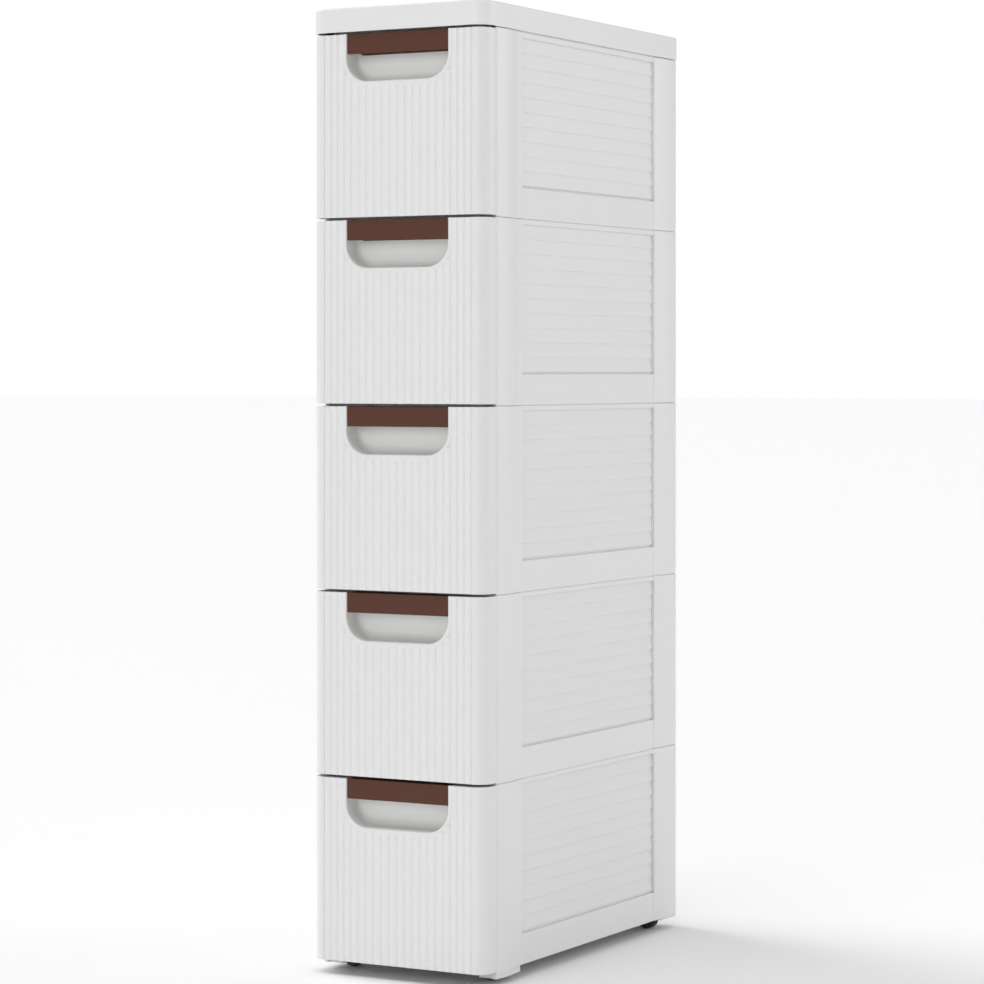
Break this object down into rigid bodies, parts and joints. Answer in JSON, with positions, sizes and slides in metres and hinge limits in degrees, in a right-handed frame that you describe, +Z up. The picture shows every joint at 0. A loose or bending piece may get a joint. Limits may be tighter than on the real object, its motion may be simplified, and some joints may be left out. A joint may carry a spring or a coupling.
{
  "type": "drawer tower",
  "caption": "Slim upright tower of stacked pull-out drawers with reeded fronts, dark handle bars, louvred side panels, a flat top cover and swivel casters.",
  "frame": {"origin": "on the floor, under the middle of the tower's outline", "axes": "+Z up along the tower's height, the drawers pull out towards -Y, +X to the right seen from the front"},
  "size_m": [0.186, 0.3914, 0.8845],
  "materials": {
    "cover": "satin white moulding",
    "frame": "satin white moulding",
    "base": "satin white moulding",
    "drawer_face": "satin white moulding with fine upright reeds",
    "tub": "satin white moulding, very slightly translucent",
    "handle": "satin dark brown",
    "caster_metal": "bright plated steel",
    "caster_tread": "dull black"
  },
  "bodies": {
    "root": {"top_cover": "cover", "base_plate": "base", "side_panel_left_1": "frame", "side_panel_left_2": "frame", "side_panel_left_3": "frame", "side_panel_left_4": "frame", "side_panel_left_5": "frame", "side_panel_right_1": "frame", "side_panel_right_2": "frame", "side_panel_right_3": "frame", "side_panel_right_4": "frame", "side_panel_right_5": "frame", "back_panel_1": "frame", "back_panel_2": "frame", "back_panel_3": "frame", "back_panel_4": "frame", "back_panel_5": "frame", "divider_shelf_1": "frame", "divider_shelf_2": "frame", "divider_shelf_3": "frame", "divider_shelf_4": "frame"},
    "drawer_1": {"drawer_box_1": "tub", "drawer_front_1": "drawer_face", "handle_bar_1": "handle"},
    "drawer_2": {"drawer_box_2": "tub", "drawer_front_2": "drawer_face", "handle_bar_2": "handle"},
    "drawer_3": {"drawer_box_3": "tub", "drawer_front_3": "drawer_face", "handle_bar_3": "handle"},
    "drawer_4": {"drawer_box_4": "tub", "drawer_front_4": "drawer_face", "handle_bar_4": "handle"},
    "drawer_5": {"drawer_box_5": "tub", "drawer_front_5": "drawer_face", "handle_bar_5": "handle"},
    "caster_front_left": {"caster_fork_front_left": "caster_metal", "caster_axle_front_left": "caster_metal"},
    "wheel_front_left": {"caster_wheel_front_left": "caster_tread"},
    "caster_front_right": {"caster_fork_front_right": "caster_metal", "caster_axle_front_right": "caster_metal"},
    "wheel_front_right": {"caster_wheel_front_right": "caster_tread"},
    "caster_back_left": {"caster_fork_back_left": "caster_metal", "caster_axle_back_left": "caster_metal"},
    "wheel_back_left": {"caster_wheel_back_left": "caster_tread"},
    "caster_back_right": {"caster_fork_back_right": "caster_metal", "caster_axle_back_right": "caster_metal"},
    "wheel_back_right": {"caster_wheel_back_right": "caster_tread"}
  },
  "joints": [
    {"name": "drawer_slide_1", "type": "slide", "parent": "root", "child": "drawer_1", "axis": [0, -1, 0], "range_m": [0, 0.29]},
    {"name": "drawer_slide_2", "type": "slide", "parent": "root", "child": "drawer_2", "axis": [0, -1, 0], "range_m": [0, 0.29]},
    {"name": "drawer_slide_3", "type": "slide", "parent": "root", "child": "drawer_3", "axis": [0, -1, 0], "range_m": [0, 0.29]},
    {"name": "drawer_slide_4", "type": "slide", "parent": "root", "child": "drawer_4", "axis": [0, -1, 0], "range_m": [0, 0.29]},
    {"name": "drawer_slide_5", "type": "slide", "parent": "root", "child": "drawer_5", "axis": [0, -1, 0], "range_m": [0, 0.29]},
    {"name": "caster_swivel_front_left", "type": "hinge", "parent": "root", "child": "caster_front_left", "pos_m": [-0.06701, -0.14836, 0], "axis": [0, 0, 1], "continuous": true},
    {"name": "wheel_spin_front_left", "type": "hinge", "parent": "caster_front_left", "child": "wheel_front_left", "pos_m": [-0.07301, -0.14836, 0.011], "axis": [0, -1, 0], "continuous": true},
    {"name": "caster_swivel_front_right", "type": "hinge", "parent": "root", "child": "caster_front_right", "pos_m": [0.06701, -0.14836, 0], "axis": [0, 0, 1], "continuous": true},
    {"name": "wheel_spin_front_right", "type": "hinge", "parent": "caster_front_right", "child": "wheel_front_right", "pos_m": [0.07288, -0.14712, 0.011], "axis": [-0.2079, 0.9781, 0], "continuous": true},
    {"name": "caster_swivel_back_left", "type": "hinge", "parent": "root", "child": "caster_back_left", "pos_m": [-0.06701, 0.16776, 0], "axis": [0, 0, 1], "continuous": true},
    {"name": "wheel_spin_back_left", "type": "hinge", "parent": "caster_back_left", "child": "wheel_back_left", "pos_m": [-0.07288, 0.16901, 0.011], "axis": [-0.2079, -0.9781, 0], "continuous": true},
    {"name": "caster_swivel_back_right", "type": "hinge", "parent": "root", "child": "caster_back_right", "pos_m": [0.06701, 0.16776, 0], "axis": [0, 0, 1], "continuous": true},
    {"name": "wheel_spin_back_right", "type": "hinge", "parent": "caster_back_right", "child": "wheel_back_right", "pos_m": [0.073, 0.16735, 0.011], "axis": [0.0698, 0.9976, 0], "continuous": true}
  ]
}
